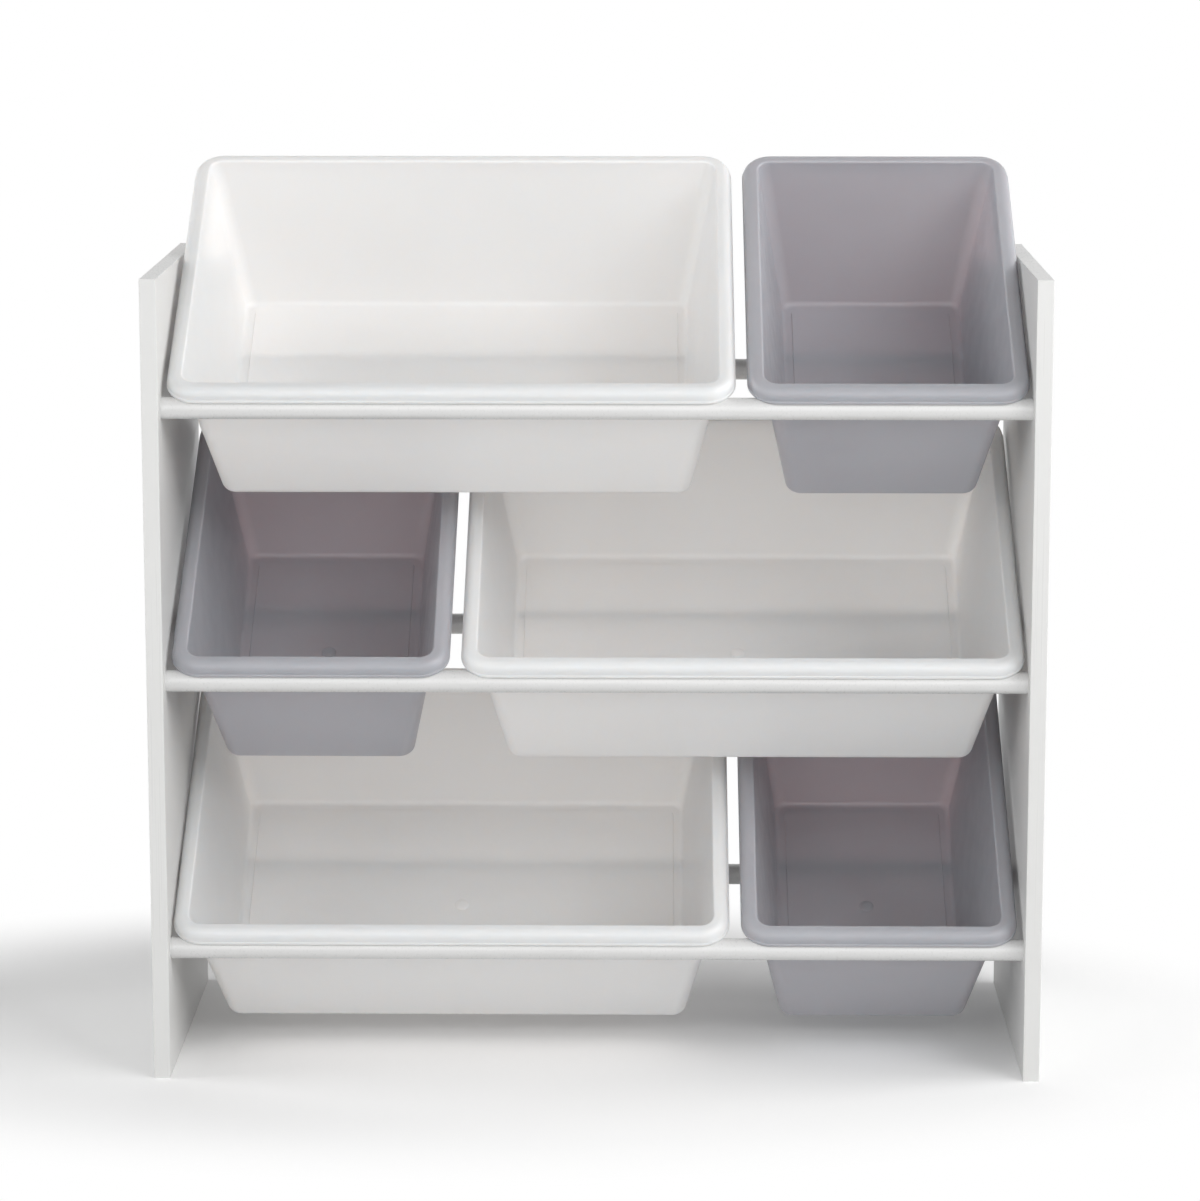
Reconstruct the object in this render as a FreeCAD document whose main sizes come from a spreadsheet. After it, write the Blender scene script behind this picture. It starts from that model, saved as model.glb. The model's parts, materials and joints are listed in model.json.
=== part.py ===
"""Toy storage organizer: two side panels, three tiers of rails, six open tubs.

Millimetres, +Z up, front towards -Y. The origin is on the floor, at the centre
of the whole object's footprint. Every driving dimension is in the sheet; what
rests on, fits in or lines up with another piece is an expression of the same
cells.
"""
import FreeCAD
import Part
import Sketcher
import os

os.makedirs("parts", exist_ok=True)
doc = FreeCAD.newDocument("toy_storage_organizer")

# ---------------------------------------------------------------- driving sizes
SIZES = {
    # side panels
    "overall_width": 650,
    "panel_height": 590,
    "panel_depth": 255,
    "panel_thickness": 12,
    "band_thickness": 1,
    "band_rounding": 0.6,
    # rails, and where their axes lie in the panels
    "rail_diameter": 16,
    "rail_wall": 1.2,
    "front_rail_inset": 20,
    "rear_rail_inset": 20,
    "bottom_rail_height": 94,
    "tier_pitch": 200.5,
    # what holds a rail to a panel
    "plug_length": 22,
    "plug_bore_depth": 19,
    "bolt_diameter": 6,
    "bolt_reach": 16,
    "bolt_head_diameter": 11,
    "bolt_head_height": 3,
    "hex_socket_flats": 4,
    "hex_socket_depth": 2,
    "cap_thickness": 1.4,
    "fit_gap": 0.1,
    # tubs
    "small_bin_width": 203,
    "bin_length": 285,
    "bin_height": 126,
    "bin_draft": 9.5,
    "bin_wall": 1.6,
    "bin_floor": 2,
    "rim_depth": 10.5,
    "rim_skin": 2,
    "lip_skin": 2,
    "lip_overhang": 5,
    "bead_reach": 0.8,
    "bead_band": 2.6,
    "rim_corner_radius": 22,
    "floor_corner_radius": 11,
    "floor_edge_radius": 6,
    "rim_outer_rounding": 7,
    "rim_inner_rounding": 1.6,
    "channel_rounding": 5,
    "foot_width": 9,
    "floor_step": 0.8,
    "panel_corner_radius": 5,
    "gate_mark_diameter": 11,
    "gate_mark_height": 0.4,
    # how the tubs lie in the frame
    "seat_gap": 0.3,
    "bin_side_gap": 2.4,
    "bin_middle_gap": 8.2,
    "top_tier_shift": 0.8,
    "middle_tier_shift": 0.8,
    "bottom_tier_shift": -1.4,
}

sheet = doc.addObject("Spreadsheet::Sheet", "sizes")
for line, (alias, value) in enumerate(SIZES.items(), start=1):
    sheet.set(f"B{line}", str(value))
    sheet.setAlias(f"B{line}", alias)
doc.recompute()

# ------------------------------------------------- sizes that follow from them
RAIL_RADIUS = "(sizes.rail_diameter / 2)"
SEAT_RADIUS = f"({RAIL_RADIUS} + sizes.seat_gap)"
INNER_WIDTH = "(sizes.overall_width - 2 * sizes.panel_thickness)"
RAIL_SPAN = "(sizes.panel_depth - sizes.front_rail_inset - sizes.rear_rail_inset)"
SMALL_BIN_WIDTH = "sizes.small_bin_width"
LARGE_BIN_WIDTH = (f"({INNER_WIDTH} - {SMALL_BIN_WIDTH} - sizes.bin_middle_gap"
                   " - 2 * sizes.bin_side_gap)")

# The front rail lies in the corner between a tub's lip and its front wall. Its
# axis is RIM_ABOVE_AXIS under the rim's top and lip_overhang behind the lip.
LIP_INNER = "(sizes.bead_reach + sizes.lip_skin)"
RIM_ABOVE_AXIS = (f"(sizes.rim_depth + sqrt(pow({SEAT_RADIUS}; 2)"
                  f" - pow(sizes.lip_overhang - {LIP_INNER}; 2)))")
WALL_OFFSET = (f"({SEAT_RADIUS} / cos(sizes.bin_draft) + sizes.lip_overhang"
               f" - {RIM_ABOVE_AXIS} * tan(sizes.bin_draft))")
WALL_ACROSS = "(sizes.bin_wall / cos(sizes.bin_draft))"
RIM_UNDERSIDE = "(sizes.bin_height - sizes.rim_depth)"
FLOOR_INSET = f"({WALL_OFFSET} + sizes.bin_height * tan(sizes.bin_draft))"

# The same axis in a tub's own frame, whose origin is the middle of its underside.
AXIS_Y = "(sizes.lip_overhang - sizes.bin_length / 2)"
AXIS_Z = f"(sizes.bin_height - {RIM_ABOVE_AXIS})"
BIN_TILT = f"asin(({AXIS_Z} + {SEAT_RADIUS}) / {RAIL_SPAN})"

# The round of a tub's rear lower edge is the rearmost point of the object.
REAR_ROUND_Y = (f"(sizes.bin_length / 2 - {FLOOR_INSET}"
                " - sizes.floor_edge_radius * tan(45 - sizes.bin_draft / 2))")
BIN_REACH = (f"(({REAR_ROUND_Y} - {AXIS_Y}) * cos({BIN_TILT})"
             f" - (sizes.floor_edge_radius - {AXIS_Z}) * sin({BIN_TILT})"
             " + sizes.floor_edge_radius)")
OVERALL_DEPTH = f"max(sizes.panel_depth; sizes.front_rail_inset + {BIN_REACH})"

FRONT_Y = f"(-{OVERALL_DEPTH} / 2)"
FRONT_RAIL_Y = f"({FRONT_Y} + sizes.front_rail_inset)"
REAR_RAIL_Y = f"({FRONT_RAIL_Y} + {RAIL_SPAN})"
TIERS = {
    "bottom": "sizes.bottom_rail_height",
    "middle": "(sizes.bottom_rail_height + sizes.tier_pitch)",
    "top": "(sizes.bottom_rail_height + 2 * sizes.tier_pitch)",
}
# Each rail's axis, as its distance behind the panels' front and above the floor.
RAIL_AXES = [(inset, height)
             for inset in ("sizes.front_rail_inset",
                           "(sizes.panel_depth - sizes.rear_rail_inset)")
             for height in TIERS.values()]

COUNTERBORE_DEPTH = "(sizes.bolt_head_height + sizes.cap_thickness)"
COUNTERBORE_RADIUS = "(sizes.bolt_head_diameter / 2 + sizes.fit_gap)"
BOLT_HOLE_RADIUS = "(sizes.bolt_diameter / 2 + sizes.fit_gap)"
SHANK_LENGTH = f"(sizes.panel_thickness - {COUNTERBORE_DEPTH} + sizes.bolt_reach)"
PLUG_RADIUS = f"({RAIL_RADIUS} - sizes.rail_wall - sizes.fit_gap)"

# The points of a line or an arc in a sketch, and the sketch's own origin.
START, END, CENTRE = range(1, 4)
ORIGIN = (-1, 1)
# How near two heights or faces are when they count as the same.
SAME = 0.01


def number(expression):
    """The value of an expression of the sheet's cells."""
    value = sheet.evalExpression(expression)
    return float(getattr(value, "Value", value))


# -------------------------------------------------------------- bodies, sketches
def new_body(name):
    body = doc.addObject("PartDesign::Body", name)
    body.Label = name
    return body


def place(item, **places):
    """Bind an object's position to expressions, one for each axis given."""
    for axis, expression in places.items():
        item.setExpression(f"Placement.Base.{axis}", expression)


def new_sketch(body, name, plane, height="0"):
    """A sketch on one of the body's own origin planes, raised along its normal."""
    sketch = body.newObject("Sketcher::SketchObject", name)
    origin_plane = next(item for item in body.Origin.OriginFeatures if item.Role == plane)
    sketch.AttachmentSupport = (origin_plane, [""])
    sketch.MapMode = "FlatFace"
    sketch.setExpression("AttachmentOffset.Base.z", height)
    return sketch


def relate(sketch, kind, *geometry):
    sketch.addConstraint(Sketcher.Constraint(kind, *geometry))


def dimension(sketch, kind, geometry, expression):
    """A dimension of the sketch whose value is an expression."""
    index = sketch.addConstraint(Sketcher.Constraint(kind, *geometry, number(expression)))
    sketch.setExpression(f"Constraints[{index}]", expression)


def join_sides(sketch, sides):
    """Close straight sides into an outline whose sides lie flat and upright in turn."""
    for turn, side in enumerate(sides):
        after = sides[(turn + 1) % len(sides)]
        relate(sketch, "Coincident", side, END, after, START)
        relate(sketch, "Horizontal" if turn % 2 == 0 else "Vertical", side)


def add_rectangle(sketch, left, bottom, width, height):
    """A rectangle whose lower left corner is given from the sketch's origin."""
    x = number(left)
    y = number(bottom)
    w = number(width)
    tall = number(height)
    corners = [FreeCAD.Vector(x, y, 0), FreeCAD.Vector(x + w, y, 0),
               FreeCAD.Vector(x + w, y + tall, 0), FreeCAD.Vector(x, y + tall, 0)]
    sides = [sketch.addGeometry(Part.LineSegment(corner, corners[(turn + 1) % 4]))
             for turn, corner in enumerate(corners)]
    join_sides(sketch, sides)
    dimension(sketch, "DistanceX", (*ORIGIN, sides[0], START), left)
    dimension(sketch, "DistanceY", (*ORIGIN, sides[0], START), bottom)
    dimension(sketch, "DistanceX", (sides[0], START, sides[0], END), width)
    dimension(sketch, "DistanceY", (sides[1], START, sides[1], END), height)


def add_rounded_rectangle(sketch, width, height, radius):
    """A rectangle with four equal round corners, centred on the sketch's origin."""
    r = number(radius)
    x = number(width) / 2 - r
    y = number(height) / 2 - r
    arcs = []
    for quarter, centre in enumerate([(x, y), (-x, y), (-x, -y), (x, -y)]):
        circle = Part.Circle(FreeCAD.Vector(*centre, 0), FreeCAD.Vector(0, 0, 1), r)
        first = quarter * circle.LastParameter / 4
        last = (quarter + 1) * circle.LastParameter / 4
        arcs.append(sketch.addGeometry(Part.ArcOfCircle(circle, first, last)))
    for turn, arc in enumerate(arcs):
        after = arcs[(turn + 1) % 4]
        side = sketch.addGeometry(Part.LineSegment(sketch.getPoint(arc, END),
                                                   sketch.getPoint(after, START)))
        relate(sketch, "Tangent", arc, END, side, START)
        relate(sketch, "Tangent", side, END, after, START)
        relate(sketch, "Horizontal" if turn % 2 == 0 else "Vertical", side)
        if turn > 0:
            relate(sketch, "Equal", arcs[0], arc)
    relate(sketch, "Symmetric", arcs[0], CENTRE, arcs[2], CENTRE, *ORIGIN)
    dimension(sketch, "Radius", (arcs[0],), radius)
    dimension(sketch, "DistanceX", (arcs[1], CENTRE, arcs[0], CENTRE), f"{width} - 2 * {radius}")
    dimension(sketch, "DistanceY", (arcs[3], CENTRE, arcs[0], CENTRE), f"{height} - 2 * {radius}")


def add_circle(sketch, radius):
    """A circle round the sketch's origin."""
    circle = sketch.addGeometry(Part.Circle(FreeCAD.Vector(0, 0, 0), FreeCAD.Vector(0, 0, 1),
                                            number(radius)))
    relate(sketch, "Coincident", circle, CENTRE, *ORIGIN)
    dimension(sketch, "Radius", (circle,), radius)


def add_circles_at_rails(sketch, radius, construction=False):
    """Six equal circles, one round each rail's axis."""
    circles = []
    for inset, height in RAIL_AXES:
        centre = FreeCAD.Vector(number(inset), number(height), 0)
        circle = sketch.addGeometry(Part.Circle(centre, FreeCAD.Vector(0, 0, 1),
                                                number(radius)), construction)
        dimension(sketch, "DistanceX", (*ORIGIN, circle, CENTRE), inset)
        dimension(sketch, "DistanceY", (*ORIGIN, circle, CENTRE), height)
        if circles:
            relate(sketch, "Equal", circles[0], circle)
        circles.append(circle)
    dimension(sketch, "Radius", (circles[0],), radius)
    return circles


def add_hexagons_at_rails(sketch, flats):
    """Six hexagons, one round each rail's axis, given across their flats."""
    for circle in add_circles_at_rails(sketch, f"{flats} / 2", construction=True):
        centre = sketch.getPoint(circle, CENTRE)
        sixth = FreeCAD.Rotation(FreeCAD.Vector(0, 0, 1), 60)
        corner = sixth.multVec(FreeCAD.Vector(number(flats) / 3 ** 0.5, 0, 0))
        sides = []
        for _ in range(6):
            after = sixth.multVec(corner)
            sides.append(sketch.addGeometry(Part.LineSegment(centre + corner, centre + after)))
            corner = after
        for turn, side in enumerate(sides):
            relate(sketch, "Coincident", side, END, sides[(turn + 1) % 6], START)
            relate(sketch, "Tangent", side, circle)
            if turn > 0:
                relate(sketch, "Equal", sides[0], side)
        relate(sketch, "Horizontal", sides[0])


# ---------------------------------------------------------------------- features
def extrude(body, kind, name, sketch, length, reversed_=False):
    """A Pad or a Pocket of a sketch. A Pocket has to take some material away."""
    volume = body.Shape.Volume if kind == "Pocket" else None
    feature = body.newObject(f"PartDesign::{kind}", name)
    feature.Profile = sketch
    feature.setExpression("Length", length)
    feature.Reversed = reversed_
    doc.recompute()
    if kind == "Pocket" and feature.Shape.Volume >= volume:
        raise RuntimeError(f"{name} cuts nothing")
    return feature


def loft(body, kind, name, lower, upper):
    """A ruled AdditiveLoft or SubtractiveLoft between two outlines."""
    feature = body.newObject(f"PartDesign::{kind}", name)
    feature.Profile = lower
    feature.Sections = [upper]
    feature.Ruled = True
    doc.recompute()
    return feature


def edge_loop(shape, height, reach):
    """Names of a shape's edges at one height that stay within reach of the middle."""
    names = []
    for index, edge in enumerate(shape.Edges, start=1):
        box = edge.BoundBox
        if abs(box.ZMin - height) < SAME and abs(box.ZMax - height) < SAME:
            if max(-box.XMin, box.XMax) < reach:
                names.append(f"Edge{index}")
    return names


def round_edges(body, name, base, edges, radius):
    fillet = body.newObject("PartDesign::Fillet", name)
    fillet.Base = (base, edges)
    fillet.setExpression("Radius", radius)
    doc.recompute()
    return fillet


# ------------------------------------------------------------------- side panels
# A panel's pieces share one frame: its origin is on the floor under the panel's
# front edge, at the inner or the outer face, and its sketches lie in that face.
def make_side_panel(name, inner_face_x, outward):
    """The coated board, drilled for six bolts and counterbored from outside.

    The board is smaller than the finished panel by the edge bands round it.
    """
    board = new_body(name)
    band = "sizes.band_thickness"
    outline = new_sketch(board, name + "_outline", "YZ_Plane")
    add_rectangle(outline, band, band, f"sizes.panel_depth - 2 * {band}",
                  f"sizes.panel_height - 2 * {band}")
    extrude(board, "Pad", name + "_board", outline, "sizes.panel_thickness", outward < 0)
    holes = new_sketch(board, name + "_bolt_holes", "YZ_Plane")
    add_circles_at_rails(holes, BOLT_HOLE_RADIUS)
    extrude(board, "Pocket", name + "_drilled", holes, "sizes.panel_thickness", outward > 0)
    sunk = new_sketch(board, name + "_counterbores", "YZ_Plane",
                      f"{outward} * sizes.panel_thickness")
    add_circles_at_rails(sunk, COUNTERBORE_RADIUS)
    extrude(board, "Pocket", name + "_sunk", sunk, COUNTERBORE_DEPTH, outward < 0)
    place(board, x=inner_face_x, y=FRONT_Y)


def make_edge_band(name, x, y, z, depth, height, outer_face):
    """One strip of edge band, its two long outer edges broken round."""
    strip = doc.addObject("Part::Box", name + "_strip")
    strip.setExpression("Length", "sizes.panel_thickness")
    strip.setExpression("Width", depth)
    strip.setExpression("Height", height)
    place(strip, x=x, y=y, z=z)
    doc.recompute()
    outside = getattr(strip.Shape.BoundBox, outer_face)
    across = outer_face[0]
    rounding = number("sizes.band_rounding")
    rounded = []
    for index, edge in enumerate(strip.Shape.Edges, start=1):
        box = edge.BoundBox
        on_face = (abs(getattr(box, across + "Min") - outside) < SAME
                   and abs(getattr(box, across + "Max") - outside) < SAME)
        if on_face and box.XLength < SAME:
            rounded.append((index, rounding, rounding))
    band = doc.addObject("Part::Fillet", name)
    band.Label = name
    band.Base = strip
    band.Edges = rounded


def make_edge_bands(side, x):
    """Front and rear bands run the full height; top and bottom lie between."""
    thin = "sizes.band_thickness"
    tall = "sizes.panel_height"
    inner_y = f"{FRONT_Y} + {thin}"
    inner_depth = f"sizes.panel_depth - 2 * {thin}"
    rear_y = f"{FRONT_Y} + sizes.panel_depth - {thin}"
    top_z = f"{tall} - {thin}"
    make_edge_band(f"{side}_front_edge_band", x, FRONT_Y, "0", thin, tall, "YMin")
    make_edge_band(f"{side}_rear_edge_band", x, rear_y, "0", thin, tall, "YMax")
    make_edge_band(f"{side}_top_edge_band", x, inner_y, top_z, inner_depth, thin, "ZMax")
    make_edge_band(f"{side}_bottom_edge_band", x, inner_y, "0", inner_depth, thin, "ZMin")


# ------------------------------------------------------- rails and what holds them
def make_rail(name, y, z):
    """A round tube between the panels' inner faces."""
    rail = new_body(name)
    ring = new_sketch(rail, name + "_ring", "YZ_Plane")
    add_circle(ring, RAIL_RADIUS)
    add_circle(ring, f"{RAIL_RADIUS} - sizes.rail_wall")
    extrude(rail, "Pad", name + "_tube", ring, INNER_WIDTH)
    place(rail, x=f"-{INNER_WIDTH} / 2", y=y, z=z)


def make_plugs(name, inner_face_x, outward):
    """Threaded plugs in the rails' ends, flush with them."""
    plugs = new_body(name)
    rounds = new_sketch(plugs, name + "_rounds", "YZ_Plane")
    add_circles_at_rails(rounds, PLUG_RADIUS)
    extrude(plugs, "Pad", name + "_plugs", rounds, "sizes.plug_length", outward > 0)
    bores = new_sketch(plugs, name + "_bores", "YZ_Plane")
    add_circles_at_rails(bores, BOLT_HOLE_RADIUS)
    extrude(plugs, "Pocket", name + "_bored", bores, "sizes.plug_bore_depth", outward < 0)
    place(plugs, x=inner_face_x, y=FRONT_Y)


def make_bolts(name, outer_face_x, outward):
    """Socket-head bolts: head in the counterbore, shank through into the plug."""
    bolts = new_body(name)
    heads = new_sketch(bolts, name + "_head_rounds", "YZ_Plane")
    add_circles_at_rails(heads, "sizes.bolt_head_diameter / 2")
    extrude(bolts, "Pad", name + "_heads", heads, "sizes.bolt_head_height", outward > 0)
    shanks = new_sketch(bolts, name + "_shank_rounds", "YZ_Plane",
                        f"-{outward} * sizes.bolt_head_height")
    add_circles_at_rails(shanks, "sizes.bolt_diameter / 2")
    extrude(bolts, "Pad", name + "_shanks", shanks, SHANK_LENGTH, outward > 0)
    hexagons = new_sketch(bolts, name + "_hexagons", "YZ_Plane")
    add_hexagons_at_rails(hexagons, "sizes.hex_socket_flats")
    extrude(bolts, "Pocket", name + "_sockets", hexagons, "sizes.hex_socket_depth", outward < 0)
    place(bolts, x=f"{outer_face_x} - {outward} * sizes.cap_thickness", y=FRONT_Y)


def make_caps(name, outer_face_x, outward):
    """Cover caps that close the counterbores flush with the panel."""
    caps = new_body(name)
    discs = new_sketch(caps, name + "_discs", "YZ_Plane")
    add_circles_at_rails(discs, f"{COUNTERBORE_RADIUS} - sizes.fit_gap")
    extrude(caps, "Pad", name + "_caps", discs, "sizes.cap_thickness", outward > 0)
    place(caps, x=outer_face_x, y=FRONT_Y)


# -------------------------------------------------------------------------- tubs
# In a tub's own frame the origin is the middle of the underside, X runs across,
# Y from front to rear along the floor and Z up the tub.
def make_tub(name, width):
    """A drafted tub with a rolled rim."""
    tub = new_body(name)

    def outline(label, height, inset, radius):
        """A rounded rectangle, inset by the same amount all round from the bead."""
        sketch = new_sketch(tub, f"{name}_{label}", "XY_Plane", height)
        add_rounded_rectangle(sketch, f"({width} - 2 * {inset})",
                              f"(sizes.bin_length - 2 * {inset})", radius)
        return sketch

    rim_radius = "sizes.rim_corner_radius"
    half_width = number(width) / 2
    rim_top = number("sizes.bin_height")

    # rim: a rolled skin with a bead along the lip's lower edge
    bead_line = outline("bead_line", RIM_UNDERSIDE, "0", rim_radius)
    extrude(tub, "Pad", name + "_bead", bead_line, "sizes.bead_band")
    roll_line = outline("roll_line", RIM_UNDERSIDE, "sizes.bead_reach",
                        f"({rim_radius} - sizes.bead_reach)")
    extrude(tub, "Pad", name + "_roll", roll_line, "sizes.rim_depth")
    channel_line = outline("channel_line", RIM_UNDERSIDE, LIP_INNER,
                           f"({rim_radius} - {LIP_INNER})")
    channel = extrude(tub, "Pocket", name + "_channel", channel_line,
                      "sizes.rim_depth - sizes.rim_skin", True)
    ceiling = edge_loop(channel.Shape, number("sizes.bin_height - sizes.rim_skin"), half_width)
    round_edges(tub, name + "_channel_round", channel, ceiling, "sizes.channel_rounding")

    # drafted walls, with a recess under the floor that leaves a foot all round
    floor_line = outline("floor_line", "0", FLOOR_INSET, "sizes.floor_corner_radius")
    wall_line = outline("wall_line", "sizes.bin_height", WALL_OFFSET,
                        f"({rim_radius} - {WALL_OFFSET})")
    shell = loft(tub, "AdditiveLoft", name + "_shell", floor_line, wall_line)
    round_edges(tub, name + "_floor_round", shell, edge_loop(shell.Shape, 0, half_width),
                "sizes.floor_edge_radius")
    foot_inset = f"({FLOOR_INSET} + sizes.foot_width)"
    foot_line = outline("foot_line", "0", foot_inset, "sizes.panel_corner_radius")
    extrude(tub, "Pocket", name + "_foot", foot_line, "sizes.floor_step", True)

    # the space inside
    cavity_line = outline("cavity_line", "sizes.bin_floor",
                          f"({FLOOR_INSET} - sizes.bin_floor * tan(sizes.bin_draft)"
                          f" + {WALL_ACROSS})", "(sizes.floor_corner_radius - sizes.bin_wall)")
    opening_line = outline("opening_line", "sizes.bin_height", f"({WALL_OFFSET} + {WALL_ACROSS})",
                           f"({rim_radius} - {WALL_OFFSET} - {WALL_ACROSS})")
    cavity = loft(tub, "SubtractiveLoft", name + "_cavity", cavity_line, opening_line)
    inner_edges = edge_loop(cavity.Shape, number("sizes.bin_floor"), half_width)
    round_edges(tub, name + "_inner_round", cavity, inner_edges,
                "sizes.floor_edge_radius - sizes.bin_wall")
    raised_line = outline("raised_line", "sizes.bin_floor", foot_inset,
                          "sizes.panel_corner_radius")
    extrude(tub, "Pad", name + "_raised_floor", raised_line, "sizes.floor_step")
    gate_line = new_sketch(tub, name + "_gate_line", "XY_Plane",
                           "sizes.bin_floor + sizes.floor_step")
    add_circle(gate_line, "sizes.gate_mark_diameter / 2")
    gate = extrude(tub, "Pad", name + "_gate_mark", gate_line, "sizes.gate_mark_height")

    # the rim's outer and inner top edges
    inner_reach = half_width - number(WALL_OFFSET)
    inner_edges = edge_loop(gate.Shape, rim_top, inner_reach)
    outer_edges = [edge for edge in edge_loop(gate.Shape, rim_top, half_width)
                   if edge not in inner_edges]
    rolled = round_edges(tub, name + "_rim_outer_round", gate, outer_edges,
                         "sizes.rim_outer_rounding")
    round_edges(tub, name + "_rim_inner_round", rolled,
                edge_loop(rolled.Shape, rim_top, inner_reach), "sizes.rim_inner_rounding")
    return tub


def copy_tub(name, original):
    """Another tub from the same mould."""
    tub = new_body(name)
    moulding = tub.newObject("PartDesign::FeatureBase", name + "_moulding")
    moulding.BaseFeature = original
    return tub


def seat_tub(tub, x, tier):
    """Lean a tub forward over its two rails, hooked on the front one."""
    tub.Placement.Rotation = FreeCAD.Rotation(FreeCAD.Vector(1, 0, 0), number(BIN_TILT))
    tub.setExpression("Placement.Rotation.Angle", BIN_TILT)
    place(tub, x=x,
          y=f"{FRONT_RAIL_Y} - {AXIS_Y} * cos({BIN_TILT}) + {AXIS_Z} * sin({BIN_TILT})",
          z=f"{TIERS[tier]} - {AXIS_Y} * sin({BIN_TILT}) - {AXIS_Z} * cos({BIN_TILT})")


def seat_pair(tier, left_tub, left_width, right_tub, right_width):
    """A wide and a narrow tub side by side between the panels."""
    left_edge = f"(sizes.bin_side_gap - {INNER_WIDTH} / 2 + sizes.{tier}_tier_shift)"
    right_edge = f"({left_edge} + {left_width} + sizes.bin_middle_gap)"
    seat_tub(left_tub, f"{left_edge} + {left_width} / 2", tier)
    seat_tub(right_tub, f"{right_edge} + {right_width} / 2", tier)


# -------------------------------------------------------------------- the object
for side, outward in (("left", -1), ("right", 1)):
    inner_x = f"({outward} * {INNER_WIDTH} / 2)"
    outer_x = f"({outward} * sizes.overall_width / 2)"
    make_side_panel(f"{side}_side_panel", inner_x, outward)
    make_edge_bands(side, outer_x if outward < 0 else inner_x)
    make_plugs(f"{side}_rail_plugs", inner_x, outward)
    make_bolts(f"{side}_panel_bolts", outer_x, outward)
    make_caps(f"{side}_bolt_caps", outer_x, outward)

for tier, height in TIERS.items():
    make_rail(f"front_rail_{tier}", FRONT_RAIL_Y, height)
    make_rail(f"rear_rail_{tier}", REAR_RAIL_Y, height)

large = {"bottom": make_tub("large_bin_bottom", LARGE_BIN_WIDTH)}
small = {"bottom": make_tub("small_bin_bottom", SMALL_BIN_WIDTH)}
for tier in ("middle", "top"):
    large[tier] = copy_tub(f"large_bin_{tier}", large["bottom"])
    small[tier] = copy_tub(f"small_bin_{tier}", small["bottom"])
for tier in ("bottom", "top"):
    seat_pair(tier, large[tier], LARGE_BIN_WIDTH, small[tier], SMALL_BIN_WIDTH)
seat_pair("middle", small["middle"], SMALL_BIN_WIDTH, large["middle"], LARGE_BIN_WIDTH)
doc.recompute()

# ------------------------------------------------------------- check, then write
failed = [item.Name for item in doc.Objects if {"Invalid", "Error"} & set(item.State)]
if failed:
    raise RuntimeError(f"features failed: {failed}")
nodes = [item for item in doc.Objects if item.TypeId in ("PartDesign::Body", "Part::Fillet")]
for node in nodes:
    if node.Shape.isNull() or not node.Shape.isValid():
        raise RuntimeError(f"{node.Label} has no valid shape")
for node in nodes:
    node.Shape.exportStep(f"parts/{node.Label}.step")
    print(f"{node.Label}: {len(node.Shape.Solids)} solids, {node.Shape.Volume:.0f} mm3")
print(f"tilt {number(BIN_TILT):.2f} deg, large bin {number(LARGE_BIN_WIDTH):.1f} mm wide,"
      f" overall depth {number(OVERALL_DEPTH):.1f} mm")
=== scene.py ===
"""Looks of the toy storage organizer: finishes, moulded tubs, light and camera."""

import json
from math import cos, pi, radians, sin, tan

import bpy
from mathutils import Matrix, Vector


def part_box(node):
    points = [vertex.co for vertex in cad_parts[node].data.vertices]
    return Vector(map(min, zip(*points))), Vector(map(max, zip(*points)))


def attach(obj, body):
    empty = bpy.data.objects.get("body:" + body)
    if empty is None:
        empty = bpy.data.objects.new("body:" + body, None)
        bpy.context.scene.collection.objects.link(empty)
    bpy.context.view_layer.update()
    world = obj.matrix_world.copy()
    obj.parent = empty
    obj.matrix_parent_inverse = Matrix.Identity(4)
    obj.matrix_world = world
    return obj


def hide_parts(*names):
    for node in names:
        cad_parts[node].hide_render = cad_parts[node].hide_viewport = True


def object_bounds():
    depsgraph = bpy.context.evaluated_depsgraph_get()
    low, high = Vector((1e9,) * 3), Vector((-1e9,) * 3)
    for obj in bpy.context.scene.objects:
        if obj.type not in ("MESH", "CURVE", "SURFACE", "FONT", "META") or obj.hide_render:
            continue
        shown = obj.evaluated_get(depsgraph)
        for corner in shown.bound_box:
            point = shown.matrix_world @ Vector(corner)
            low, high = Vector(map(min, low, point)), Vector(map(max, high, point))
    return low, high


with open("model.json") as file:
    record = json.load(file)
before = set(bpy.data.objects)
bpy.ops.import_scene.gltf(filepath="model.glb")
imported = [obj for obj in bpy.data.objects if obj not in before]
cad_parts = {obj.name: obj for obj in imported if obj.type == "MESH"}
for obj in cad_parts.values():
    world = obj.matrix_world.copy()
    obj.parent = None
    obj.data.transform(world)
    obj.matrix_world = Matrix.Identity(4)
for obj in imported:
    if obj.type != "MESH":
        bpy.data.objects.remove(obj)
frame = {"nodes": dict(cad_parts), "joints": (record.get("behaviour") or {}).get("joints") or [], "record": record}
cad_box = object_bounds()
MM = 0.001

# ------------------------------------------------ sizes of a tub, in millimetres
BIN_LENGTH = 285.0
BIN_HEIGHT = 126.0
DRAFT_DEGREES = 9.5
WALL = 1.6
FLOOR = 2.0
FLOOR_STEP = 0.8
FOOT_WIDTH = 9.0
RIM_DEPTH = 10.5
RIM_SKIN = 2.0
BEAD_REACH = 0.8
BEAD_BAND = 2.6
LIP_INNER = 2.8
# From the rim's outline to the wall's outer face, at the rim's top.
WALL_OFFSET = 10.32
# From the rim's outline in, and from its top down, to the axis of the rail that
# it hooks on.
LIP_OVERHANG = 5.0
AXIS_BELOW_RIM = 18.5

# Corner radii of the outlines: at the rim, at the floor and round the raised floor.
RIM_CORNER = 22.0
FLOOR_CORNER = 11.0
RAISED_CORNER = 5.0
# Roundings in the section. Those of the bead and the floor's step are the smallest.
FLOOR_EDGE = 6.0
CHANNEL_ROUND = 5.0
ROLL = 7.0
INNER_EDGE = 1.6
BEAD_ROUND = 0.6
STEP_ROUND = 0.35
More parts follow.
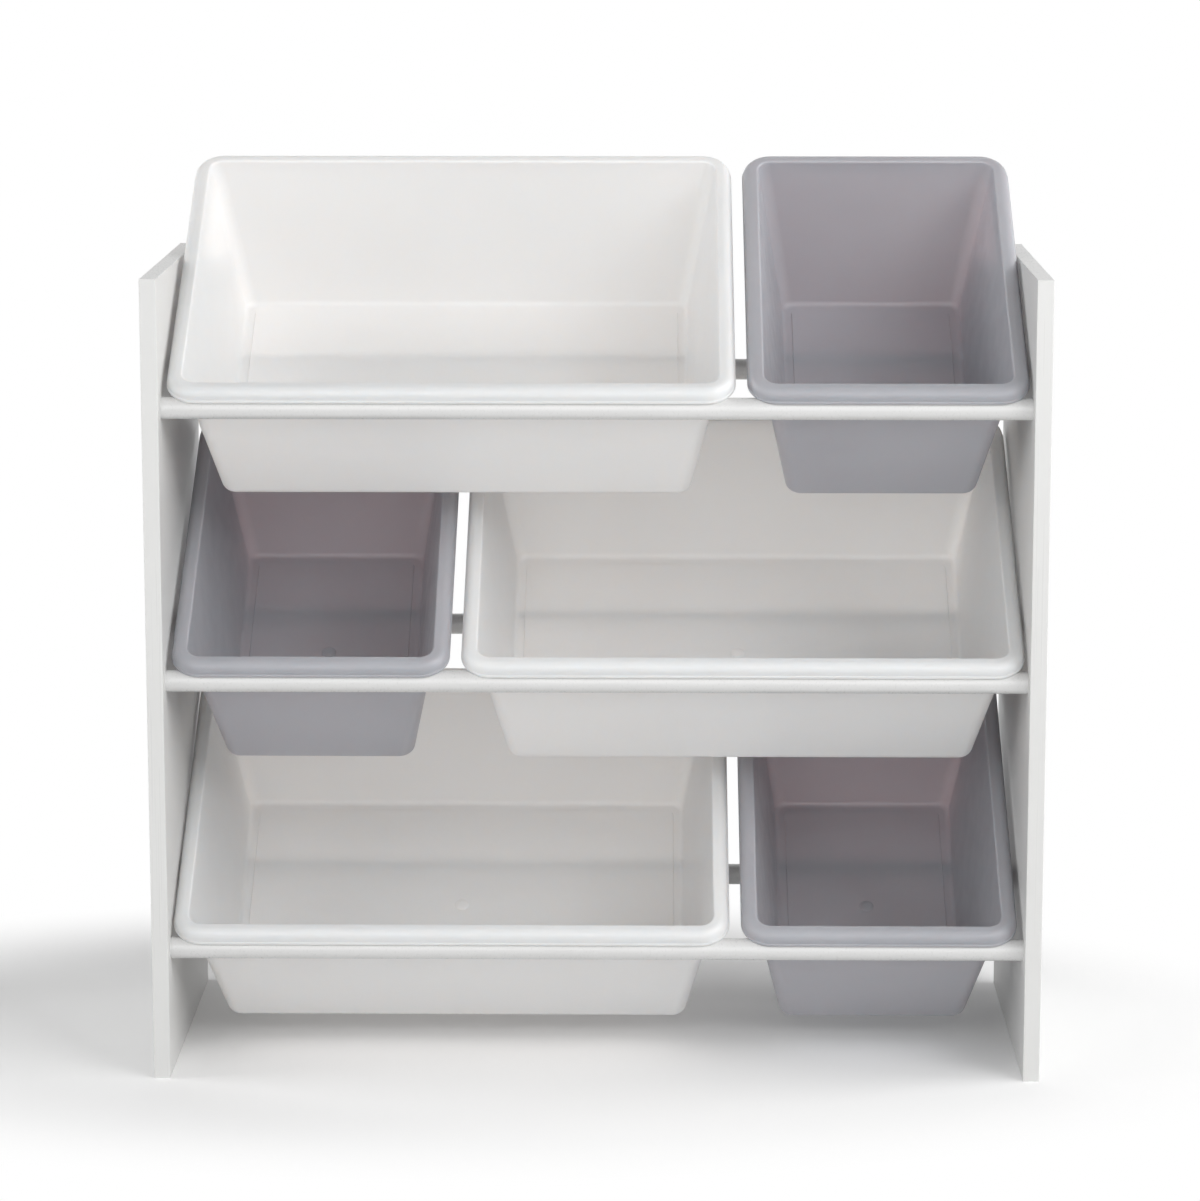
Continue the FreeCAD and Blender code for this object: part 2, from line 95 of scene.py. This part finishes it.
# The gate mark in the floor: a low dome, from its edge to its middle, each entry
# a radius and a height above the raised floor.
GATE_SECTION = [(5.5, 0.0), (5.0, 0.5), (4.0, 0.9), (2.6, 1.15), (1.2, 1.25)]

DRAFT = radians(DRAFT_DEGREES)
FLOOR_INSET = WALL_OFFSET + BIN_HEIGHT * tan(DRAFT)
WALL_ACROSS = WALL / cos(DRAFT)
FOOT_INSET = FLOOR_INSET + FOOT_WIDTH
RAISED_FLOOR = FLOOR + FLOOR_STEP

# Divisions of a ring's corners and sides, and of each rounding in the section.
CORNER_STEPS = 14
SIDE_STEPS = 6
FLOOR_EDGE_STEPS = 8
CHANNEL_STEPS = 7
LIP_STEPS = 3
BEAD_STEPS = 4
ROLL_STEPS = 12
INNER_EDGE_STEPS = 6
STEP_ROUND_STEPS = 3
# Edges sharper than this stay crisp.
SHARP_ANGLE = radians(40)

# Directions in the section, in degrees: insets grow inward and heights upward.
INWARD = 0
UP = 90
OUTWARD = 180
DOWN = 270
# Where the bead's upper round meets the roll.
BEAD_END = 100


def middle(node):
    """The centre of a CAD node's box."""
    low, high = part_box(node)
    return (Vector(low) + Vector(high)) / 2


def add_object(name, data):
    """An object of the scene that shows a mesh, a light or a camera."""
    item = bpy.data.objects.new(name, data)
    bpy.context.scene.collection.objects.link(item)
    return item


# ------------------------------------------------------------------ tub geometry
# A tub is one closed skin. Its section is a list of (inset, height, corner radius),
# and each entry is one ring round the tub.
def arc(inset, height, radius, start, end, steps):
    """Points (inset, height) on an arc, its angles in degrees."""
    points = []
    for step in range(steps + 1):
        angle = radians(start + (end - start) * step / steps)
        points.append((inset + radius * cos(angle), height + radius * sin(angle)))
    return points


def outer_wall(height):
    """Inset and corner radius of the wall's outer face at a height."""
    share = height / BIN_HEIGHT
    radius = FLOOR_CORNER + (RIM_CORNER - WALL_OFFSET - FLOOR_CORNER) * share
    return FLOOR_INSET - height * tan(DRAFT), radius


def inner_wall(height):
    """Inset and corner radius of the wall's inner face at a height."""
    inset, radius = outer_wall(height)
    return inset + WALL_ACROSS, radius - WALL


def on_wall(points, wall):
    """Give each point the corner radius that keeps its distance from a wall."""
    rings = []
    for inset, height in points:
        wall_inset, wall_radius = wall(height)
        rings.append((inset, height, wall_radius - (inset - wall_inset)))
    return rings


def on_rim(points):
    """Give each point the corner radius that keeps its distance from the rim."""
    return [(inset, height, RIM_CORNER - inset) for inset, height in points]


def outside_section():
    """The step under the floor, the round beside it and the wall up to the channel."""
    rings = [(FOOT_INSET, FLOOR_STEP, RAISED_CORNER), (FOOT_INSET, 0, RAISED_CORNER)]
    round_inset = FLOOR_INSET + FLOOR_EDGE * tan(pi / 4 - DRAFT / 2)
    floor_edge = arc(round_inset, FLOOR_EDGE, FLOOR_EDGE, DOWN, OUTWARD + DRAFT_DEGREES,
                     FLOOR_EDGE_STEPS)
    rings += on_wall(floor_edge, outer_wall)
    ceiling = BIN_HEIGHT - RIM_SKIN
    inset, radius = outer_wall(ceiling)
    rings.append((inset, ceiling, radius))
    return rings


def rim_section():
    """The channel, the lip, the bead along its lower edge and the roll over it."""
    ceiling = BIN_HEIGHT - RIM_SKIN
    bead_low = BIN_HEIGHT - RIM_DEPTH + BEAD_ROUND
    bead_high = BIN_HEIGHT - RIM_DEPTH + BEAD_BAND - BEAD_ROUND
    edge_height = BIN_HEIGHT - INNER_EDGE
    edge_inset = inner_wall(edge_height)[0] - INNER_EDGE / cos(DRAFT)
    points = arc(LIP_INNER + CHANNEL_ROUND, ceiling - CHANNEL_ROUND, CHANNEL_ROUND,
                 UP, OUTWARD, CHANNEL_STEPS)
    points += arc(LIP_INNER - BEAD_ROUND, bead_low, BEAD_ROUND, INWARD, DOWN - 360, LIP_STEPS)
    points += arc(BEAD_ROUND, bead_low, BEAD_ROUND, DOWN, OUTWARD, BEAD_STEPS)
    points += arc(BEAD_ROUND, bead_high, BEAD_ROUND, OUTWARD, BEAD_END, BEAD_STEPS)
    points += arc(BEAD_REACH + ROLL, BIN_HEIGHT - ROLL, ROLL, OUTWARD, UP, ROLL_STEPS)
    points += arc(edge_inset, edge_height, INNER_EDGE, UP, DRAFT_DEGREES, INNER_EDGE_STEPS)
    return on_rim(points)


def inside_section():
    """The wall, the round at its foot and the step up to the raised floor."""
    inner_round = FLOOR_EDGE - WALL
    round_height = FLOOR + inner_round
    round_inset = inner_wall(round_height)[0] + inner_round / cos(DRAFT)
    floor_edge = arc(round_inset, round_height, inner_round, OUTWARD + DRAFT_DEGREES, DOWN,
                     FLOOR_EDGE_STEPS)
    rings = on_wall(floor_edge, inner_wall)
    rings.append((FOOT_INSET - STEP_ROUND, FLOOR, RAISED_CORNER + STEP_ROUND))
    for inset, height in arc(FOOT_INSET + STEP_ROUND, RAISED_FLOOR - STEP_ROUND, STEP_ROUND,
                             OUTWARD, UP, STEP_ROUND_STEPS):
        rings.append((inset, height, RAISED_CORNER + FOOT_INSET - inset))
    return rings


def ring_points(width, inset, height, radius):
    """One ring: a rounded rectangle whose straight sides are divided too."""
    x = width / 2 - inset - radius
    y = BIN_LENGTH / 2 - inset - radius
    corners = [(x, y), (-x, y), (-x, -y), (x, -y)]
    points = []
    for quarter, (centre_x, centre_y) in enumerate(corners):
        for step in range(CORNER_STEPS + 1):
            angle = (quarter + step / CORNER_STEPS) * pi / 2
            points.append(Vector((centre_x + radius * cos(angle),
                                  centre_y + radius * sin(angle), height)))
        after_x, after_y = corners[(quarter + 1) % 4]
        turn = (quarter + 1) * pi / 2
        start = points[-1]
        end = Vector((after_x + radius * cos(turn), after_y + radius * sin(turn), height))
        points += [start.lerp(end, step / SIDE_STEPS) for step in range(1, SIDE_STEPS)]
    return points


def disc_ring(radius, height, outline):
    """A circle with as many points as an outline, in the same order."""
    first = -Vector((1, 0)).angle_signed(outline[0].xy)
    count = len(outline)
    return [Vector((radius * cos(first + 2 * pi * step / count),
                    radius * sin(first + 2 * pi * step / count), height))
            for step in range(count)]


def tub_mesh(name, width):
    """The closed skin of a tub of one width, with its gate mark in the floor."""
    section = outside_section() + rim_section() + inside_section()
    rings = [ring_points(width, *entry) for entry in section]
    for radius, height in GATE_SECTION:
        rings.append(disc_ring(radius, RAISED_FLOOR + height, rings[-1]))
    count = len(rings[0])
    vertices = [point * MM for ring in rings for point in ring]
    faces = [tuple(range(count))[::-1]]
    for lower in range(len(rings) - 1):
        base = lower * count
        for step in range(count):
            after = (step + 1) % count
            faces.append((base + step, base + after,
                          base + count + after, base + count + step))
    last = (len(rings) - 1) * count
    faces.append(tuple(range(last, last + count)))
    mesh = bpy.data.meshes.new(name)
    mesh.from_pydata(vertices, [], faces)
    mesh.polygons.foreach_set("use_smooth", [True] * len(mesh.polygons))
    mesh.set_sharp_from_angle(angle=SHARP_ANGLE)
    return mesh


def seat_of(node, tier):
    """The place of a tub that leans over its two rails, as its CAD node does."""
    up = Vector(next(joint["axis"] for joint in frame["joints"] if joint["type"] == "slide"))
    lean = Matrix.Rotation(up.angle(Vector((0, 0, 1))), 4, "X")
    hook = Vector((0, LIP_OVERHANG - BIN_LENGTH / 2, BIN_HEIGHT - AXIS_BELOW_RIM)) * MM
    rail = middle(f"front_rail_{tier}")
    rail.x = middle(node).x
    return Matrix.Translation(rail - lean @ hook) @ lean


# --------------------------------------------------------------------- materials
# Noise runs from 0 to 1, and mostly between these two.
NOISE_LOW = 0.3
NOISE_HIGH = 0.7

# Each finish's darkest and lightest colour, in linear light.
BOARD_WHITE = (0.70, 0.70, 0.69), (0.72, 0.72, 0.71)
COAT_WHITE = (0.685, 0.685, 0.68), (0.705, 0.705, 0.70)
PLASTIC_WHITE = (0.78, 0.78, 0.77), (0.81, 0.81, 0.80)
ZINC_GREY = (0.52, 0.53, 0.55), (0.68, 0.68, 0.69)
TUB_WHITE = (0.893, 0.867, 0.849), (0.913, 0.887, 0.869)
TUB_GREY = (0.408, 0.414, 0.446), (0.438, 0.444, 0.476)

POLYPROPYLENE_IOR = 1.49


def new_material(name):
    """A material and its shader."""
    material = bpy.data.materials.new(name)
    material.use_nodes = True
    return material, material.node_tree.nodes["Principled BSDF"]


def add_node(owner, kind, **settings):
    """A node of a material or a world.

    Its inputs are given by name, and a socket given as a value is linked.
    """
    tree = owner.node_tree
    node = tree.nodes.new(f"ShaderNode{kind}")
    for key, value in settings.items():
        socket = node.inputs.get(key.replace("_", " "))
        if socket is None:
            setattr(node, key, value)
        elif isinstance(value, bpy.types.NodeSocket):
            tree.links.new(value, socket)
        else:
            socket.default_value = value
    return node


def noise(material, scale, detail=2.0):
    """Noise over the surface, in the object's own metres."""
    place = add_node(material, "TexCoord").outputs["Object"]
    texture = add_node(material, "TexNoise", Vector=place, Scale=scale, Detail=detail)
    return texture.outputs["Fac"]


def vary(material, factor, low, high):
    """A number that runs from low to high with a noise."""
    node = add_node(material, "MapRange", Value=factor, From_Min=NOISE_LOW,
                    From_Max=NOISE_HIGH, To_Min=low, To_Max=high)
    return node.outputs["Result"]


def shade(material, factor, colours):
    """A colour that runs from the dark to the light one with a noise."""
    ramp = add_node(material, "ValToRGB", Fac=factor)
    for stop, position, colour in zip(ramp.color_ramp.elements, (NOISE_LOW, NOISE_HIGH), colours):
        stop.position = position
        stop.color = (*colour, 1)
    return ramp.outputs["Color"]


def bump(material, factor, depth, strength, **base):
    """A normal bent by a noise of a depth in metres, over a base Normal if given."""
    node = add_node(material, "Bump", Height=factor, Distance=depth, Strength=strength, **base)
    return node.outputs["Normal"]


def finish(material, shader, colour, roughness, normal):
    """Wire the three inputs that every finish varies."""
    links = material.node_tree.links
    links.new(colour, shader.inputs["Base Color"])
    links.new(roughness, shader.inputs["Roughness"])
    links.new(normal, shader.inputs["Normal"])


def moulded_plastic(name, colours, soak, soak_depth):
    """Polypropylene: cloudy colour, satin skin, light that soaks through thin walls."""
    material, shader = new_material(name)
    cloud = noise(material, scale=9.0, detail=3.0)
    skin = noise(material, scale=2600.0, detail=1.0)
    sheen = noise(material, scale=55.0, detail=4.0)
    ripple = noise(material, scale=28.0, detail=1.0)
    waves = bump(material, ripple, depth=0.0005, strength=0.25)
    finish(material, shader, shade(material, cloud, colours),
           vary(material, sheen, low=0.30, high=0.42),
           bump(material, skin, depth=0.00004, strength=0.5, Normal=waves))
    shader.inputs["Subsurface Weight"].default_value = 1.0
    shader.inputs["Subsurface Radius"].default_value = soak
    shader.inputs["Subsurface Scale"].default_value = soak_depth
    shader.inputs["IOR"].default_value = POLYPROPYLENE_IOR
    return material


def coated_board():
    """White melamine: a dead flat sheet with a very fine pearl grain."""
    material, shader = new_material("panel_board")
    grain = noise(material, scale=1400.0)
    cloud = noise(material, scale=5.0)
    finish(material, shader, shade(material, cloud, BOARD_WHITE),
           vary(material, grain, low=0.36, high=0.48),
           bump(material, grain, depth=0.00005, strength=0.35))
    return material


def banding():
    """Plastic edge band: smoother than the board, with faint drawn lines along it."""
    material, shader = new_material("edge_band")
    place = add_node(material, "TexCoord").outputs["Object"]
    drawn = add_node(material, "Mapping", Vector=place, Scale=(900.0, 900.0, 6.0))
    lines = add_node(material, "TexNoise", Vector=drawn.outputs["Vector"], Scale=1.0,
                     Detail=2.0).outputs["Fac"]
    cloud = noise(material, scale=7.0)
    finish(material, shader, shade(material, cloud, BOARD_WHITE),
           vary(material, lines, low=0.26, high=0.38),
           bump(material, lines, depth=0.00002, strength=0.4))
    return material


def powder_coat():
    """White powder coat over steel tube, with its fine orange peel."""
    material, shader = new_material("rail_tube")
    peel = noise(material, scale=620.0, detail=1.5)
    cloud = noise(material, scale=11.0)
    finish(material, shader, shade(material, cloud, COAT_WHITE),
           vary(material, peel, low=0.26, high=0.34),
           bump(material, peel, depth=0.00003, strength=0.25))
    shader.inputs["Coat Weight"].default_value = 0.25
    shader.inputs["Coat Roughness"].default_value = 0.18
    return material


def plain_plastic(name):
    """Small moulded parts: plugs and cover caps."""
    material, shader = new_material(name)
    skin = noise(material, scale=1900.0, detail=1.0)
    cloud = noise(material, scale=60.0)
    finish(material, shader, shade(material, cloud, PLASTIC_WHITE),
           vary(material, skin, low=0.32, high=0.44),
           bump(material, skin, depth=0.00003, strength=0.5))
    return material


def zinc_steel():
    """Zinc-plated bolts, faintly mottled."""
    material, shader = new_material("bolt_steel")
    mottle = noise(material, scale=900.0, detail=3.0)
    finish(material, shader, shade(material, mottle, ZINC_GREY),
           vary(material, mottle, low=0.24, high=0.42),
           bump(material, mottle, depth=0.00002, strength=0.4))
    shader.inputs["Metallic"].default_value = 1.0
    return material


MATERIALS = {
    "panel_board": coated_board(),
    "edge_band": banding(),
    "rail_plug": plain_plastic("rail_plug"),
    "bolt_steel": zinc_steel(),
    "bolt_cap": plain_plastic("bolt_cap"),
    "rail_tube": powder_coat(),
    # Light soaks furthest in red, so what shines through a wall is warmer.
    "white_tub": moulded_plastic("white_tub", TUB_WHITE, soak=(1.12, 1.0, 0.92),
                                 soak_depth=0.0050),
    "grey_tub": moulded_plastic("grey_tub", TUB_GREY, soak=(1.32, 1.05, 1.0),
                                soak_depth=0.0048),
}

# ------------------------------------------------------------------------ pieces
for part in frame["record"]["subparts"]:
    materials = frame["nodes"][part["node"]].data.materials
    materials.clear()
    materials.append(MATERIALS[part["material_slot"]])

for size, colour in (("large", "white_tub"), ("small", "grey_tub")):
    for tier in ("bottom", "middle", "top"):
        node = f"{size}_bin_{tier}"
        name = f"{size}_tub_{tier}"
        low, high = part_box(node)
        skin = tub_mesh(name, (high[0] - low[0]) / MM)
        skin.transform(seat_of(node, tier))
        skin.materials.append(MATERIALS[colour])
        tub = add_object(name, skin)
        even = tub.modifiers.new("even normals", "WEIGHTED_NORMAL")
        even.keep_sharp = True
        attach(tub, f"{node}_body")
        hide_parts(node)

# ------------------------------------------------------------------------- stage
OBJECT_HEIGHT = cad_box[1][2]
# The floor's colour and the world's strength, as the camera and mirrors see them.
WHITE = 1.0
# What the floor throws back on the object, and the world's own even light.
FLOOR_BOUNCE = 0.8
AMBIENT = 0.03
# Half the floor's width, in metres.
FLOOR_REACH = 8.0
# The floor turns to white between two distances from a spot a little left of the
# object's middle, and depth counts for more than width.
FADE_STRETCH = (1.0, 1.8, 1.0)
FADE_OFFSET = (0.1, 0.0, 0.0)
FADE_START = 0.40
FADE_END = 0.68
LAMP_DISTANCE = 3.4


def seen(owner):
    """One for rays that show the background: camera, glossy and transmission rays."""
    link = owner.node_tree.links.new
    path = add_node(owner, "LightPath")
    seen_by = path.outputs["Is Camera Ray"]
    for ray in ("Is Glossy Ray", "Is Transmission Ray"):
        either = add_node(owner, "Math", operation="MAXIMUM")
        link(seen_by, either.inputs[0])
        link(path.outputs[ray], either.inputs[1])
        seen_by = either.outputs[0]
    return seen_by


def white_floor():
    """A pale floor that keeps the object's shadow and turns to white away from it."""
    material = bpy.data.materials.new("floor")
    material.use_nodes = True
    material.node_tree.nodes.clear()
    link = material.node_tree.links.new
    is_seen = seen(material)
    tint = add_node(material, "MapRange", Value=is_seen, To_Min=FLOOR_BOUNCE, To_Max=WHITE)
    near = add_node(material, "BsdfDiffuse", Color=tint.outputs["Result"])
    far = add_node(material, "Emission")

    place = add_node(material, "NewGeometry").outputs["Position"]
    stretched = add_node(material, "VectorMath", operation="MULTIPLY_ADD", Vector=place)
    stretched.inputs[1].default_value = FADE_STRETCH
    stretched.inputs[2].default_value = FADE_OFFSET
    away = add_node(material, "VectorMath", operation="LENGTH",
                    Vector=stretched.outputs["Vector"])
    fade = add_node(material, "MapRange", interpolation_type="SMOOTHSTEP",
                    Value=away.outputs["Value"], From_Min=FADE_START, From_Max=FADE_END)
    share = add_node(material, "Math", operation="MULTIPLY")
    link(fade.outputs["Result"], share.inputs[0])
    link(is_seen, share.inputs[1])

    mix = add_node(material, "MixShader", Fac=share.outputs[0])
    link(near.outputs[0], mix.inputs[1])
    link(far.outputs[0], mix.inputs[2])
    add_node(material, "OutputMaterial", Surface=mix.outputs[0])
    return material


def studio_world():
    """Even soft light, and plain white behind the object."""
    world = bpy.data.worlds.new("studio")
    world.use_nodes = True
    strength = add_node(world, "MapRange", Value=seen(world), To_Min=AMBIENT, To_Max=WHITE)
    background = world.node_tree.nodes["Background"]
    background.inputs["Color"].default_value = (1, 1, 1, 1)
    world.node_tree.links.new(strength.outputs["Result"], background.inputs["Strength"])
    bpy.context.scene.world = world


def add_lamp(name, azimuth, elevation, size, power, distance=LAMP_DISTANCE, mirrored=True):
    """A square soft box aimed at the object; azimuth 0 is in front, 90 at its right."""
    turn = radians(azimuth)
    rise = radians(elevation)
    aim = Vector((0, 0, OBJECT_HEIGHT / 2))
    away = Vector((sin(turn) * cos(rise), -cos(turn) * cos(rise), sin(rise)))
    lamp = bpy.data.lights.new(name, "AREA")
    lamp.size = size
    lamp.energy = power
    holder = add_object(name, lamp)
    holder.location = aim + away * distance
    holder.rotation_euler = away.to_track_quat("Z", "Y").to_euler()
    holder.visible_glossy = mirrored
    holder.visible_camera = False


corners = [(-FLOOR_REACH, -FLOOR_REACH, 0), (FLOOR_REACH, -FLOOR_REACH, 0),
           (FLOOR_REACH, FLOOR_REACH, 0), (-FLOOR_REACH, FLOOR_REACH, 0)]
floor_mesh = bpy.data.meshes.new("floor")
floor_mesh.from_pydata(corners, [], [(0, 1, 2, 3)])
floor_mesh.materials.append(white_floor())
floor = add_object("floor", floor_mesh)

studio_world()
add_lamp("key", azimuth=48, elevation=30, size=2.0, power=54)
add_lamp("right", azimuth=88, elevation=22, size=1.8, power=52)
add_lamp("front", azimuth=0, elevation=13, size=2.6, power=43)
add_lamp("fill", azimuth=-50, elevation=16, size=2.0, power=21)
add_lamp("left", azimuth=-88, elevation=20, size=1.8, power=43)
add_lamp("rear", azimuth=180, elevation=5, size=3.2, power=22, distance=1.5, mirrored=False)

# ------------------------------------------------------------------------ camera
# In front of the panels, above them and a little to the right, looking down and
# a little to the left: metres and degrees.
CAMERA_RIGHT = 0.0383
CAMERA_AWAY = 2.819
CAMERA_HEIGHT = 0.901
CAMERA_DOWN = 9.86
CAMERA_LEFT = 0.72

camera = bpy.data.cameras.new("camera")
camera.sensor_fit = "HORIZONTAL"
camera.sensor_width = 36.0
camera.lens = 119.76
camera.shift_y = -0.06
view = add_object("camera", camera)
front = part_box("left_front_edge_band")[0][1]
view.location = (CAMERA_RIGHT, front - CAMERA_AWAY, CAMERA_HEIGHT)
view.rotation_euler = (radians(90 - CAMERA_DOWN), 0, radians(CAMERA_LEFT))
bpy.context.scene.camera = view
bpy.context.scene.view_settings.view_transform = "Standard"
